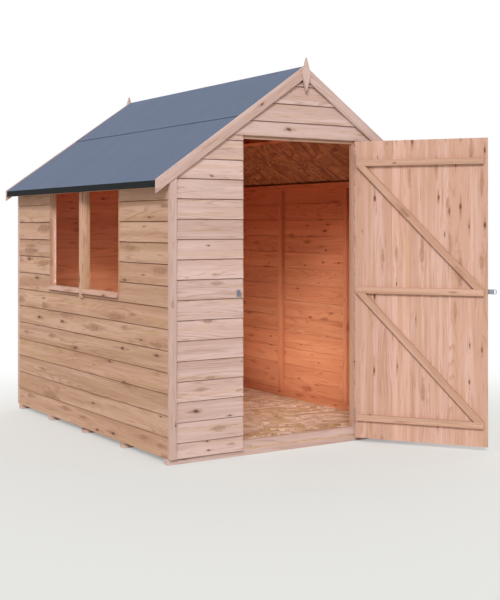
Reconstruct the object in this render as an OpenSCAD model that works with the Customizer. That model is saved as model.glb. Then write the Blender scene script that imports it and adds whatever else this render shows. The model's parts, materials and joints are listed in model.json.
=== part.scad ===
// Garden shed of overlapped boards with an apex roof and one ledged door.
// Millimetres. +Z is up, +X runs to the right seen from the front and the front faces -Y.
// The origin is the middle of the middle bearer's underside, on the ground.
// The door stands open at rest, as far as door_open turns it from closed.

/* [Overall] */
// Width over the cladding of the side walls
shed_w = 1800; // [1500:10:2400]
// Depth over the cladding of the front and back walls
shed_d = 2280; // [1900:10:3000]
// Height of the side walls' cladding above the ground
side_h = 1604; // [1550:1:1900]
// Slope of the roof in degrees
roof_pitch = 35; // [28:0.5:38]

/* [Floor] */
// Number of bearers under the floor
bearer_n = 5; // [3:2:9]
// Width of a bearer
bearer_w = 45; // [30:1:75]
// Height of a bearer
bearer_h = 33; // [25:1:60]
// Thickness of the floor sheet
floor_t = 11; // [9:1:22]

/* [Walls] */
// Depth of the overlapped cladding from its back to its outermost edge
clad_t = 18; // [12:1:25]
// Depth of the wall framing behind the cladding
frame_t = 28; // [22:1:50]
// Width of a stud, post or rail seen from inside
stud_w = 41; // [30:1:60]
// Distance from the front face to the centre of the first inner stud of a side wall
side_stud_1 = 712; // [600:1:760]
// Distance from the front face to the centre of the second inner stud of a side wall
side_stud_2 = 1508; // [1400:1:1700]
// Distance of each inner stud of the back wall from the middle
back_stud_off = 388; // [200:1:400]
// Width of a corner trim on the front and back faces
trim_w = 42; // [30:1:70]
// How far a corner trim stands out of the cladding
trim_proud = 8; // [4:1:15]

/* [Doorway and door] */
// Distance from the left side to the doorway's left edge in the cladding
doorway_x = 478; // [420:1:520]
// Width of the doorway in the cladding
doorway_w = 808; // [700:1:860]
// Height of the doorway's top edge in the cladding above the ground
doorway_top = 1829; // [1700:1:1850]
// How far the posts stand into the doorway as door stops
stop_w = 12; // [8:1:20]
// How far the door head stands down into the doorway as a door stop
head_stop = 18; // [12:1:30]
// Gap around the door boards, and between them and the frame behind them
door_gap = 5; // [5:0.5:8]
// Thickness of the door boards
door_t = 12; // [10:1:20]
// Height of the door boards' lower edge above the ground
door_bottom = 28; // [20:1:31]
// Width of the ledges and braces
ledge_w = 38; // [30:1:60]
// Thickness of the ledges and braces
ledge_t = 24; // [15:1:27]
// Height of the top ledge's centre line
ledge_top_z = 1691; // [1600:1:1740]
// Height of the middle ledge's centre line
ledge_mid_z = 924; // [800:1:1000]
// Height of the bottom ledge's centre line
ledge_low_z = 154; // [120:1:250]
// Distance from the door's hinged edge to the ledges' ends
ledge_hinge_gap = 14; // [13:1:30]
// Distance from the door's free edge to the ledges' ends
ledge_free_gap = 19; // [17:1:40]
// Angle of the door from closed as it stands
door_open = 125; // [0:1:155]

/* [Ironmongery] */
// Radius of the tee hinge's pin
pin_r = 2.5; // [2:0.1:4]
// Radial clearance of the strap's eye on the pin
pin_fit = 0.05; // [0.02:0.01:0.1]
// Outer radius of the hinge knuckles
knuckle_r = 5; // [4:0.1:7]
// Air between a pin's knuckles and the closed door or the wall behind them
knuckle_clear = 0.5; // [0.3:0.1:2]
// Thickness of the web from a hinge leaf out to its knuckle
neck = 3; // [2:0.5:5]
// Air at each end of the knuckle that turns on a hinge's pin
knuckle_gap = 0.5; // [0.3:0.1:1]
// Gap between the edge of one leaf and the knuckles of the other
leaf_gap = 2; // [1:0.5:4]
// How far a pin stands out of its knuckles at each end
pin_end = 1; // [0.5:0.5:3]
// Thickness of the hinge straps and plates
iron_t = 2.5; // [2:0.1:3]
// Length of a tee hinge's strap
strap_l = 300; // [200:5:450]
// Width of a strap at its knuckle
strap_w = 30; // [20:1:40]
// Width of a strap at its tip
strap_tip_w = 16; // [10:1:20]
// Height of a hinge plate on the wall
plate_h = 100; // [80:1:140]
// Width of a hinge plate on the wall
plate_w = 34; // [25:1:45]
// Height of the hasp's centre line
hasp_z = 929; // [880:1:980]
// Height of the hasp
hasp_h = 28; // [24:1:40]
// Length of the hasp's plate on the door
hasp_plate_l = 48; // [30:1:70]
// Distance from the door's free edge to the hasp's pin
hasp_pin_in = 9; // [8:0.5:15]
// Distance from the door's outer face to the hasp's pin
hasp_pin_out = 8.5; // [8:0.5:12]
// Height of each knuckle at the ends of the hasp's pin
hasp_knuckle_h = 9; // [6:0.5:10]
// Radius of the corners at the hasp's free end
hasp_corner = 6; // [3:0.5:8]
// How far the hasp reaches past the door's free edge
hasp_reach = 48; // [42:1:60]
// Height of the slot in the hasp
slot_h = 22; // [20:0.5:22]
// Width of the slot in the hasp
slot_w = 9; // [8.5:0.5:10]
// Metal left between the slot and the hasp's end
slot_edge = 5; // [4:0.5:8]
// Radius of the hasp's pin
hasp_pin_r = 2; // [1.5:0.1:3]
// Thickness of the staple's wire
staple_wire = 4.4; // [3:0.1:5]
// Height of the staple's loop inside its wire
staple_gap = 9.6; // [8:0.1:10]
// How far the staple's wire stands out of the wall
staple_out = 26; // [24:1:32]
// Width of the staple's plate
staple_plate_w = 24; // [16:1:30]
// Height of the staple's plate
staple_plate_h = 40; // [30:1:50]
// Thickness of the staple's plate
staple_plate_t = 1.2; // [1:0.1:1.5]

/* [Window] */
// Distance from the front face to the window opening
window_y = 635; // [560:1:680]
// Length of the window opening
window_l = 1051; // [900:1:1200]
// Height of the window opening's lower edge above the ground
window_z = 906; // [820:1:1000]
// Length of the mullion's face
mullion_w = 96; // [60:1:120]
// Depth of the mullion from the cladding's outer face
mullion_d = 34; // [25:1:46]
// Width of the cover strip on the mullion
cover_w = 40; // [25:1:60]
// Thickness of the cover strip on the mullion
cover_t = 12; // [8:1:16]
// How far the cover strip's foot hangs under the sill
cover_drop = 16; // [5:1:25]
// Height of the sill's front edge
sill_h = 39; // [25:1:50]
// Thickness of the sill on the window's lower rail
sill_t = 6; // [4:1:12]
// How far the sill stands out of the cladding
sill_proud = 20; // [10:1:30]
// Thickness of a pane
pane_t = 3; // [2:0.5:6]
// Distance of the panes' inner face in front of the mullion's back
pane_set = 4; // [1:1:12]

/* [Roof] */
// Thickness of the roof sheets
deck_t = 11; // [9:1:18]
// Thickness of one layer of roofing felt
felt_t = 2.5; // [2:0.1:4]
// How far the roof sheets reach past the side walls' cladding
eave_over = 82; // [50:1:120]
// Height of the felt's turned-down edge at the eaves
eave_h = 40; // [35:1:60]
// Thickness of the batten under the roof's lower edge
eave_batten_t = 28; // [18:1:38]
// Distance from the middle to the lower edge of the ridge felt
ridge_felt_half = 452; // [200:1:600]
// Height of the barge boards across the slope
barge_w = 60; // [45:1:90]
// Thickness of the barge boards
barge_t = 16; // [12:1:22]
// How far the barge boards stand above the felt, measured upright
barge_up = 2; // [0:0.5:5]
// How far the barge boards reach past the felt at the eaves
barge_over = 4; // [2:1:20]
// Distance from the middle to a purlin's centre line
purlin_off = 450; // [350:1:600]
// Width of a purlin or ridge beam
beam_w = 28; // [22:1:50]
// Depth of the purlins
purlin_h = 41; // [30:1:60]
// Depth of the ridge beam
ridge_beam_h = 60; // [40:1:100]
// Height of a finial
finial_h = 198; // [120:1:240]
// Width of a finial at its widest
finial_w = 60; // [50:1:90]
// Distance from a finial's tip down to its widest place
finial_shoulder = 100; // [60:1:120]
// How far a finial's tip stands above the barge boards
finial_up = 46; // [20:1:60]
// Thickness of a finial
finial_t = 16; // [10:1:20]

/* [Hidden] */
$fn = 48;
// Air left between sloped roof pieces and what they rest on
seat = 0.3;
// Air left between two pieces cut to meet on the middle line
mitre_gap = 0.6;
// How far two parts of one piece are drawn into each other
lap = 1;

// Outer faces of the cladding and the planes behind them
half_w = shed_w / 2;
half_d = shed_d / 2;
frame_x = half_w - clad_t;
frame_y = half_d - clad_t;
room_x = frame_x - frame_t;
room_y = frame_y - frame_t;

// Levels
floor_z = bearer_h;
rail_z = bearer_h + floor_t;
stud_z = rail_z + stud_w;

// Upright distances below the barge boards' top line
slope = tan(roof_pitch);
upright = 1 / cos(roof_pitch);
ridge_felt_top = barge_up;
ridge_felt_under = ridge_felt_top + felt_t * upright;
felt_top = ridge_felt_under + seat;
deck_top = felt_top + felt_t * upright;
deck_under = deck_top + deck_t * upright;
ridge_h = side_h + half_w * slope + deck_under + seat;
function roof_z(x, below) = ridge_h - below - abs(x) * slope;
function under_roof(x) = roof_z(x, deck_under) - seat;
deck_x = half_w + eave_over;
felt_x = deck_x + felt_t;
barge_x = felt_x + barge_over;
barge_under = barge_w * upright;

// Tops of the side walls' rails and the end walls' studs, cut square to a whole millimetre
side_top = floor(under_roof(frame_x));
rafter_under = deck_under + seat + stud_w * upright;
gable_stud_top = floor(roof_z(room_x, rafter_under));

// The doorway in the cladding, and the posts and head that stand into it
way_l = -half_w + doorway_x;
way_r = way_l + doorway_w;
post_l = way_l + stop_w;
post_r = way_r - stop_w;
head_z = doorway_top - head_stop;

// The closed door: its edges, and its outer and inner faces
door_l = way_l + door_gap;
door_r = way_r - door_gap;
door_in = -frame_y - door_gap;
door_out = door_in - door_t;
door_top = doorway_top - door_gap;
pin_x = (door_r + way_r) / 2;
pin_y = min(-half_d, door_out) - knuckle_r - knuckle_clear;
hinge_zs = [ledge_top_z, ledge_low_z];
strap_knuckle_h = strap_w - 2 * knuckle_gap;

// The hasp, with its pin upright near the free edge
hasp_pin_x = door_l + hasp_pin_in;
hasp_pin_y = door_out - hasp_pin_out;
hasp_eye_h = hasp_h - 2 * (hasp_knuckle_h + 2 * knuckle_gap);
hasp_end = door_l - hasp_reach;
slot_x = hasp_end + slot_edge + slot_w / 2;

// The window in the left wall
win_y0 = -half_d + window_y;
win_y1 = win_y0 + window_l;
win_top = side_top - stud_w;
mullion_y = (win_y0 + win_y1) / 2;
sill_top = window_z + sill_t;

// A profile in X and Z, drawn from y0 to y1
module along_y(y0, y1) {
    translate([0, y1, 0]) rotate([90, 0, 0]) linear_extrude(y1 - y0) children();
}

// A profile in Y and Z, drawn from x0 to x1
module along_x(x0, x1) {
    translate([x0, 0, 0]) rotate([90, 0, 90]) linear_extrude(x1 - x0) children();
}

// A box between two corners
module block(a, b) {
    translate(a) cube(b - a);
}

// The same piece on the other side of the middle plane x = 0
module both_sides() {
    children();
    mirror([1, 0, 0]) children();
}

// The same piece at the other end of the shed
module both_ends() {
    children();
    mirror([0, 1, 0]) children();
}

// Turns what is drawn for the closed door to where the door stands
module on_door() {
    translate([pin_x, pin_y, 0]) rotate([0, 0, door_open]) translate([-pin_x, -pin_y, 0]) children();
}

module pine() { color([0.84, 0.66, 0.55]) children(); }
module red_pine() { color([0.72, 0.38, 0.24]) children(); }
module zinc() { color([0.62, 0.65, 0.72]) children(); }
module black_iron() { color([0.13, 0.13, 0.14]) children(); }
module felt_grey() { color([0.42, 0.46, 0.53]) children(); }
module sheet_wood() { color([0.80, 0.58, 0.36]) children(); }

// Floor

module floor_bearers() {
    run = 2 * frame_y - bearer_w;
    pine() for (i = [0 : bearer_n - 1]) {
        y = run * (i / (bearer_n - 1) - 0.5);
        block([-half_w, y - bearer_w / 2, 0], [half_w, y + bearer_w / 2, bearer_h]);
    }
}

module floor_panel() {
    sheet_wood() block([-frame_x, -frame_y, floor_z], [frame_x, frame_y, floor_z + floor_t]);
}

// Cladding

// The cladding of one side of an end wall: from x0 out to the trim, up to the roof or to top_z
module end_clad(x0, x1, z0, top_z) {
    intersection() {
        polygon([[x0, z0], [x1, z0], [x1, top_z], [x0, top_z]]);
        polygon([[-half_w, 0], [half_w, 0], [half_w, under_roof(half_w)],
                 [0, under_roof(0)], [-half_w, under_roof(half_w)]]);
    }
}

module front_wall_left() {
    pine() along_y(-half_d, -frame_y) end_clad(-half_w + trim_w, way_l, floor_z, doorway_top);
}

module front_wall_right() {
    pine() along_y(-half_d, -frame_y) end_clad(way_r, half_w - trim_w, floor_z, doorway_top);
}

module front_gable() {
    pine() along_y(-half_d, -frame_y) end_clad(-half_w + trim_w, half_w - trim_w, doorway_top, ridge_h);
}

module back_wall() {
    pine() along_y(frame_y, half_d) end_clad(-half_w + trim_w, half_w - trim_w, floor_z, ridge_h);
}

module left_wall() {
    pine() along_x(-half_w, -frame_x) difference() {
        translate([-frame_y, floor_z]) square([2 * frame_y, under_roof(half_w) - floor_z]);
        translate([win_y0, window_z]) square([window_l, win_top - window_z]);
    }
}

module right_wall() {
    pine() block([frame_x, -frame_y, floor_z], [half_w, frame_y, under_roof(half_w)]);
}

// One trim at the front left corner: its back part fills the corner up to the roof
// and its proud part stops under the barge board
module corner_trim() {
    x1 = -half_w + trim_w;
    along_y(-half_d, -frame_y)
        polygon([[-half_w, floor_z], [x1, floor_z], [x1, under_roof(x1)], [-half_w, under_roof(half_w)]]);
    along_y(-half_d - trim_proud, -half_d)
        polygon([[-half_w, floor_z], [x1, floor_z], [x1, roof_z(x1, barge_under) - seat],
                 [-half_w, roof_z(half_w, barge_under) - seat]]);
}

module corner_trims() {
    pine() both_sides() both_ends() corner_trim();
}

// Framing of the front wall

module threshold() {
    pine() block([-room_x, -frame_y, rail_z], [room_x, -room_y, stud_z]);
}

module door_posts() {
    pine() {
        block([post_l - stud_w, -frame_y, stud_z], [post_l, -room_y, head_z]);
        block([post_r, -frame_y, stud_z], [post_r + stud_w, -room_y, head_z]);
    }
}

// The door head lies on the posts, its ends cut to fit under the rafters
module door_head() {
    pine() along_y(-frame_y, -room_y) intersection() {
        translate([post_l - stud_w, head_z]) square([post_r - post_l + 2 * stud_w, stud_w]);
        polygon([[-half_w, 0], [half_w, 0], [half_w, roof_z(half_w, rafter_under) - seat],
                 [0, roof_z(0, rafter_under) - seat], [-half_w, roof_z(half_w, rafter_under) - seat]]);
    }
}

module front_studs() {
    red_pine() both_sides() block([room_x - stud_w, -frame_y, stud_z], [room_x, -room_y, gable_stud_top]);
}

// A rafter under each slope of both gables, cut upright at the middle line
module gable_rafters() {
    x1 = mitre_gap / 2;
    red_pine() both_sides() both_ends() along_y(-frame_y, -room_y)
        polygon([[x1, roof_z(x1, rafter_under)], [room_x, roof_z(room_x, rafter_under)],
                 [room_x, under_roof(room_x)], [x1, under_roof(x1)]]);
}

// Framing of the back and side walls

module back_studs() {
    red_pine() both_sides() {
        block([room_x - stud_w, room_y, stud_z], [room_x, frame_y, gable_stud_top]);
        block([back_stud_off - stud_w / 2, room_y, stud_z],
              [back_stud_off + stud_w / 2, frame_y, gable_stud_top - stud_w]);
    }
}

module back_rails() {
    reach = room_x - stud_w;
    red_pine() {
        block([-room_x, room_y, rail_z], [room_x, frame_y, stud_z]);
        block([-reach, room_y, gable_stud_top - stud_w], [reach, frame_y, gable_stud_top]);
    }
}

// Upright studs of a side wall, at distances y from the front face
module side_studs(ys, top) {
    for (y = ys)
        block([room_x, y - half_d - stud_w / 2, stud_z], [frame_x, y - half_d + stud_w / 2, top]);
}

corner_stud_y = clad_t + stud_w / 2;

module right_studs() {
    ys = [corner_stud_y, side_stud_1, side_stud_2, shed_d - corner_stud_y];
    red_pine() side_studs(ys, side_top - stud_w);
}

module right_rails() {
    red_pine() {
        block([room_x, -frame_y, rail_z], [frame_x, frame_y, stud_z]);
        block([room_x, -frame_y, side_top - stud_w], [frame_x, frame_y, side_top]);
    }
}

// The left wall's inner studs stand on both sides of the window and under its mullion
module left_studs() {
    ys = [corner_stud_y, window_y - stud_w / 2, window_y + window_l + stud_w / 2, shed_d - corner_stud_y];
    red_pine() mirror([1, 0, 0]) {
        side_studs(ys, win_top);
        side_studs([mullion_y + half_d], window_z - stud_w);
    }
}

module left_rails() {
    red_pine() mirror([1, 0, 0]) {
        block([room_x, -frame_y, rail_z], [frame_x, frame_y, stud_z]);
        block([room_x, -frame_y, win_top], [frame_x, frame_y, side_top]);
        block([room_x, win_y0, window_z - stud_w], [frame_x, win_y1, window_z]);
    }
}

// Window

// The post between the panes, and the cover strip on it that parts the sill
module window_mullion() {
    pine() {
        block([-half_w, mullion_y - mullion_w / 2, window_z],
              [-half_w + mullion_d, mullion_y + mullion_w / 2, win_top]);
        block([-half_w - cover_t, mullion_y - cover_w / 2, sill_top - sill_h - cover_drop],
              [-half_w, mullion_y + cover_w / 2, win_top]);
    }
}

// One half of the sill, from y0 to y1 at its front edge and from b0 to b1 behind the cladding's face
module sill_half(y0, y1, b0, b1) {
    block([-half_w - sill_proud, y0, sill_top - sill_h], [-half_w, y1, sill_top]);
    block([-half_w - lap, b0, window_z], [-room_x, b1, sill_top]);
}

module window_sill() {
    pine() {
        sill_half(win_y0, mullion_y - cover_w / 2, win_y0, mullion_y - mullion_w / 2);
        sill_half(mullion_y + cover_w / 2, win_y1, mullion_y + mullion_w / 2, win_y1);
    }
}

module window_panes() {
    x1 = -half_w + mullion_d - pane_set;
    color([0.75, 0.85, 0.88, 0.35]) {
        block([x1 - pane_t, win_y0, sill_top], [x1, mullion_y - mullion_w / 2, win_top]);
        block([x1 - pane_t, mullion_y + mullion_w / 2, sill_top], [x1, win_y1, win_top]);
    }
}

// Roof

module ridge_beam() {
    top = under_roof(beam_w / 2);
    red_pine() block([-beam_w / 2, -room_y, top - ridge_beam_h], [beam_w / 2, room_y, top]);
}

module purlins() {
    red_pine() both_sides()
        along_y(-room_y, room_y)
            translate([purlin_off, under_roof(purlin_off)]) rotate(-roof_pitch)
                translate([-beam_w / 2, -purlin_h]) square([beam_w, purlin_h]);
}

// The sheet of the right slope
module roof_sheet() {
    x1 = mitre_gap / 2;
    along_y(-half_d, half_d)
        polygon([[x1, roof_z(x1, deck_under)], [deck_x, roof_z(deck_x, deck_under)],
                 [deck_x, roof_z(deck_x, deck_top)], [x1, roof_z(x1, deck_top)]]);
}

module roof_sheet_right() { sheet_wood() roof_sheet(); }

module roof_sheet_left() { sheet_wood() mirror([1, 0, 0]) roof_sheet(); }

eave_z = roof_z(felt_x, felt_top) - eave_h;

module eave_battens() {
    x0 = deck_x - eave_batten_t;
    pine() both_sides() along_y(-half_d, half_d)
        polygon([[x0, eave_z], [deck_x, eave_z], [deck_x, under_roof(deck_x)], [x0, under_roof(x0)]]);
}

// Felt over the right slope, turned down over the sheet's edge and the batten
module felt() {
    x1 = mitre_gap / 2;
    along_y(-half_d, half_d)
        polygon([[x1, roof_z(x1, deck_top)], [deck_x, roof_z(deck_x, deck_top)], [deck_x, eave_z],
                 [felt_x, eave_z], [felt_x, roof_z(felt_x, felt_top)], [x1, roof_z(x1, felt_top)]]);
}

module felt_right() { felt_grey() felt(); }

module felt_left() { felt_grey() mirror([1, 0, 0]) felt(); }

module ridge_felt() {
    x1 = ridge_felt_half;
    felt_grey() along_y(-half_d, half_d)
        polygon([[-x1, roof_z(x1, ridge_felt_under)], [0, roof_z(0, ridge_felt_under)],
                 [x1, roof_z(x1, ridge_felt_under)],
                 [x1, roof_z(x1, ridge_felt_top)], [0, roof_z(0, ridge_felt_top)],
                 [-x1, roof_z(x1, ridge_felt_top)]]);
}

// The two barge boards of the front gable, cut upright at the middle and at the eaves
module barge_boards() {
    x1 = mitre_gap / 2;
    both_sides() along_y(-half_d - barge_t, -half_d)
        polygon([[x1, roof_z(x1, barge_under)], [barge_x, roof_z(barge_x, barge_under)],
                 [barge_x, roof_z(barge_x, 0)], [x1, roof_z(x1, 0)]]);
}

module front_barge_boards() { pine() barge_boards(); }

module back_barge_boards() { pine() mirror([0, 1, 0]) barge_boards(); }

// The pointed board over the joint of the barge boards
module finial() {
    tip = ridge_h + finial_up;
    along_y(-half_d - barge_t - finial_t, -half_d - barge_t)
        polygon([[0, tip], [finial_w / 2, tip - finial_shoulder], [0, tip - finial_h],
                 [-finial_w / 2, tip - finial_shoulder]]);
}

module front_finial() { pine() finial(); }

module back_finial() { pine() mirror([0, 1, 0]) finial(); }

// Door

module door_boards() {
    pine() on_door() block([door_l, door_out, door_bottom], [door_r, door_in, door_top]);
}

ledge_x0 = door_l + ledge_free_gap;
ledge_x1 = door_r - ledge_hinge_gap;

module door_ledges() {
    pine() on_door() for (z = [ledge_top_z, ledge_mid_z, ledge_low_z])
        block([ledge_x0, door_in, z - ledge_w / 2], [ledge_x1, door_in + ledge_t, z + ledge_w / 2]);
}

// A brace from the hinged side under the upper ledge down to the free side of the lower one
module brace(low, high) {
    z0 = low + ledge_w / 2;
    z1 = high - ledge_w / 2;
    run = ledge_x1 - ledge_x0;
    // The brace's upright edges are as long as its corners need to be ledge_w across the slope
    reach = ledge_w / sin(atan2(z1 - z0, run));
    along_y(door_in, door_in + ledge_t)
        polygon([[ledge_x0, z0], [ledge_x0 + reach, z0], [ledge_x1, z1], [ledge_x1 - reach, z1]]);
}

module door_braces() {
    pine() on_door() {
        brace(ledge_mid_z, ledge_top_z);
        brace(ledge_low_z, ledge_mid_z);
    }
}

// Tee hinges: the strap's eye turns between two knuckles of the plate, on the plate's pin

module hinge_straps() {
    black_iron() on_door() for (z = hinge_zs) difference() {
        union() {
            along_y(door_out - iron_t, door_out)
                polygon([[pin_x, z - strap_knuckle_h / 2], [pin_x, z + strap_knuckle_h / 2],
                         [pin_x - strap_l, z + strap_tip_w / 2], [pin_x - strap_l, z - strap_tip_w / 2]]);
            block([pin_x - neck, pin_y, z - strap_knuckle_h / 2], [pin_x, door_out, z + strap_knuckle_h / 2]);
            translate([pin_x, pin_y, z - strap_knuckle_h / 2]) cylinder(r = knuckle_r, h = strap_knuckle_h);
        }
        translate([pin_x, pin_y, z - strap_w]) cylinder(r = pin_r + pin_fit, h = 2 * strap_w);
    }
}

module hinge_plates() {
    knuckle_h = (plate_h - strap_w) / 2;
    clear_x = pin_x + knuckle_r + leaf_gap;
    black_iron() for (z = hinge_zs) {
        block([clear_x, -half_d - iron_t, z - plate_h / 2], [pin_x + plate_w, -half_d, z + plate_h / 2]);
        for (z0 = [z - plate_h / 2, z + strap_w / 2]) {
            block([pin_x, -half_d - iron_t, z0], [clear_x, -half_d, z0 + knuckle_h]);
            block([pin_x, pin_y, z0], [pin_x + neck, -half_d, z0 + knuckle_h]);
            translate([pin_x, pin_y, z0]) cylinder(r = knuckle_r, h = knuckle_h);
        }
        translate([pin_x, pin_y, z - plate_h / 2 - pin_end]) cylinder(r = pin_r, h = plate_h + 2 * pin_end);
    }
}

// Hasp: a plate on the door with two knuckles and the pin, and a slotted flap on the pin

module hasp_plate() {
    z1 = hasp_z - hasp_h / 2;
    zinc() on_door() {
        block([hasp_pin_x, door_out - iron_t, z1], [hasp_pin_x + hasp_plate_l, door_out, z1 + hasp_h]);
        for (z0 = [z1, z1 + hasp_h - hasp_knuckle_h]) {
            translate([hasp_pin_x, hasp_pin_y, z0]) cylinder(r = knuckle_r, h = hasp_knuckle_h);
            block([hasp_pin_x, hasp_pin_y, z0], [hasp_pin_x + knuckle_r, door_out, z0 + hasp_knuckle_h]);
        }
        translate([hasp_pin_x, hasp_pin_y, z1 - pin_end]) cylinder(r = hasp_pin_r, h = hasp_h + 2 * pin_end);
    }
}

module hasp() {
    flap_end = hasp_pin_x - knuckle_r - leaf_gap;
    corner = hasp_corner;
    zinc() on_door() difference() {
        union() {
            along_y(hasp_pin_y - iron_t / 2, hasp_pin_y + iron_t / 2) difference() {
                union() {
                    translate([hasp_end + corner, hasp_z - hasp_h / 2])
                        square([flap_end - hasp_end - corner, hasp_h]);
                    translate([hasp_end, hasp_z - hasp_h / 2 + corner])
                        square([2 * corner, hasp_h - 2 * corner]);
                    for (s = [-1, 1])
                        translate([hasp_end + corner, hasp_z + s * (hasp_h / 2 - corner)]) circle(corner);
                    translate([flap_end - lap, hasp_z - hasp_eye_h / 2])
                        square([hasp_pin_x - flap_end + lap, hasp_eye_h]);
                }
                translate([slot_x - slot_w / 2, hasp_z - slot_h / 2]) square([slot_w, slot_h]);
            }
            translate([hasp_pin_x, hasp_pin_y, hasp_z - hasp_eye_h / 2])
                cylinder(r = knuckle_r, h = hasp_eye_h);
        }
        translate([hasp_pin_x, hasp_pin_y, hasp_z - hasp_h])
            cylinder(r = hasp_pin_r + pin_fit, h = 2 * hasp_h);
    }
}

// The staple on the wall: an upright loop on a thin plate, with a round outer end
module staple() {
    outer = staple_gap + 2 * staple_wire;
    leg = staple_out - outer / 2;
    zinc() {
        block([slot_x - staple_plate_w / 2, -half_d - staple_plate_t, hasp_z - staple_plate_h / 2],
              [slot_x + staple_plate_w / 2, -half_d, hasp_z + staple_plate_h / 2]);
        along_x(slot_x - staple_wire / 2, slot_x + staple_wire / 2)
            translate([-half_d - staple_out, hasp_z]) difference() {
                union() {
                    translate([outer / 2, 0]) circle(d = outer);
                    translate([outer / 2, -outer / 2]) square([leg, outer]);
                }
                translate([outer / 2, 0]) circle(d = staple_gap);
                translate([outer / 2, -staple_gap / 2]) square([leg - staple_plate_t, staple_gap]);
            }
    }
}

floor_bearers();
floor_panel();
front_wall_left();
front_wall_right();
front_gable();
back_wall();
left_wall();
right_wall();
threshold();
door_posts();
door_head();
front_studs();
gable_rafters();
back_studs();
back_rails();
left_studs();
left_rails();
right_studs();
right_rails();
window_mullion();
window_sill();
window_panes();
ridge_beam();
purlins();
roof_sheet_left();
roof_sheet_right();
eave_battens();
felt_left();
felt_right();
ridge_felt();
front_barge_boards();
back_barge_boards();
front_finial();
back_finial();
corner_trims();
door_boards();
door_ledges();
door_braces();
hinge_straps();
hinge_plates();
hasp_plate();
hasp();
staple();
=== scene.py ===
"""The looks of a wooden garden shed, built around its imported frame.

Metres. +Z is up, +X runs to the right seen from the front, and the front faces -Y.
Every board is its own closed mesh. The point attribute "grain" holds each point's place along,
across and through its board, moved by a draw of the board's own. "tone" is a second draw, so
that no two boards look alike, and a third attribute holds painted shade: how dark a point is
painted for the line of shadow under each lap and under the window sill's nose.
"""
import json
import math
import random

import bmesh
import bpy
from mathutils import Matrix, Vector, noise


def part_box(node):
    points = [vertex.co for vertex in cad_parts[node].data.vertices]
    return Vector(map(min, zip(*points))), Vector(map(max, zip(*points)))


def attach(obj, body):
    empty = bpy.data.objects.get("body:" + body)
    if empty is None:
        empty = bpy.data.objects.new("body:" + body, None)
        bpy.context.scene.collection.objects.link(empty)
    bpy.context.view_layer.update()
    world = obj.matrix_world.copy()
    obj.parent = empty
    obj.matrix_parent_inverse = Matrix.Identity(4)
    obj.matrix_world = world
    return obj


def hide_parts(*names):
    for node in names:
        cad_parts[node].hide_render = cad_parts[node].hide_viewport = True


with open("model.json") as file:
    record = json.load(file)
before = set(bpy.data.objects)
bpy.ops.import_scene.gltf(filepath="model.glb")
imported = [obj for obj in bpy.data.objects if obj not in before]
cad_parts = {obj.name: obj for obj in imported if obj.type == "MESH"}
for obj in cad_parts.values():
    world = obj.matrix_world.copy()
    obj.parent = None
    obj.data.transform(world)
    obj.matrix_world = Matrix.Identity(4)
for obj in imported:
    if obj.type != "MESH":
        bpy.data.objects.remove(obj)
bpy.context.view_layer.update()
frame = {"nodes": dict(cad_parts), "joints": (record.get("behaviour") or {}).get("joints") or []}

# ---------------------------------------------------------------------------------------
# Planes and lines of the building, read from the frame

HALF_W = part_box("right_wall")[1].x
FRAME_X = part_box("right_wall")[0].x
HALF_D = -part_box("front_gable")[0].y
FRAME_Y = -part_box("front_gable")[1].y
CLAD = HALF_W - FRAME_X
BASE_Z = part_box("right_wall")[0].z
WALL_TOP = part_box("right_wall")[1].z
HEAD_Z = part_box("front_gable")[0].z
APEX_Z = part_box("front_gable")[1].z
SLOPE = (APEX_Z - WALL_TOP) / HALF_W
DECK_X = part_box("roof_sheet_right")[1].x
FELT_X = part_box("felt_right")[1].x
FELT_T = FELT_X - DECK_X

# ---------------------------------------------------------------------------------------
# Sizes that the frame doesn't hold

# Cladding boards: height to the weather on the side walls, on the end walls and in the gables,
# with the first one's where it is cut lower, and then their thickness and overlap
SIDE_PITCH = 0.1187
END_PITCH = 0.112
END_FIRST = 0.0855
GABLE_PITCH = 0.108
GABLE_FIRST = 0.088
BOARD_T = 0.008
OVERLAP = 0.014
# Step from board to board on the inside, where each is rebated over the one below
INNER_STEP = 0.0035
# Height of the line of painted shade under each lap on the side walls and on the end walls
SIDE_LINE = 0.0042
END_LINE = 0.0028
# Length between the rings of points along a lapped board and along a plain one
LAPPED_STEP = 0.06
PLAIN_STEP = 0.12
# How far a lapped board's lower edge wanders up and in
WANDER_UP = 0.0014
WANDER_IN = 0.0006
# Thickness of the laths on the boards' ends beside the window
LATH_T = 0.008
# Boards side by side in the door, and the gap between them
DOOR_BOARDS = 7
DOOR_GAP = 0.0002
# Thickness of the hinges' and the hasp's plates and of the staple's
IRON_T = 0.0025
STAPLE_T = 0.0012
# Height of a cladding nail over its board's lower edge
NAIL_UP = 0.024
# Radius and rise of each kind of nail and screw head
CLADDING_NAIL = (0.0022, 0.0006)
TRIM_NAIL = (0.0018, 0.0005)
DOOR_NAIL = (0.0024, 0.0006)
CLOUT = (0.0042, 0.0009)
HINGE_SCREW = (0.0034, 0.0012)
SMALL_SCREW = (0.0026, 0.001)


def roof_half(z):
    """Half the width under the roof sheets at a height."""
    return HALF_W + (WALL_TOP - z) / SLOPE


def joint(name):
    """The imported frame's row for a joint."""
    return next(j for j in frame["joints"] if j["name"] == name)


DOOR_PIN = Vector(joint("door_hinge")["pos_m"])
OPENED = (
    Matrix.Translation(DOOR_PIN)
    @ Matrix.Rotation(math.radians(-joint("door_hinge")["range_deg"][0]), 4, "Z")
    @ Matrix.Translation(-DOOR_PIN)
)


def welded(node):
    """The CAD node's mesh with its corners joined and its flat faces whole."""
    bm = bmesh.new()
    bm.from_mesh(frame["nodes"][node].data)
    bmesh.ops.remove_doubles(bm, verts=bm.verts, dist=1e-5)
    bmesh.ops.dissolve_limit(bm, angle_limit=math.radians(1), verts=bm.verts, edges=bm.edges)
    return bm


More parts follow.
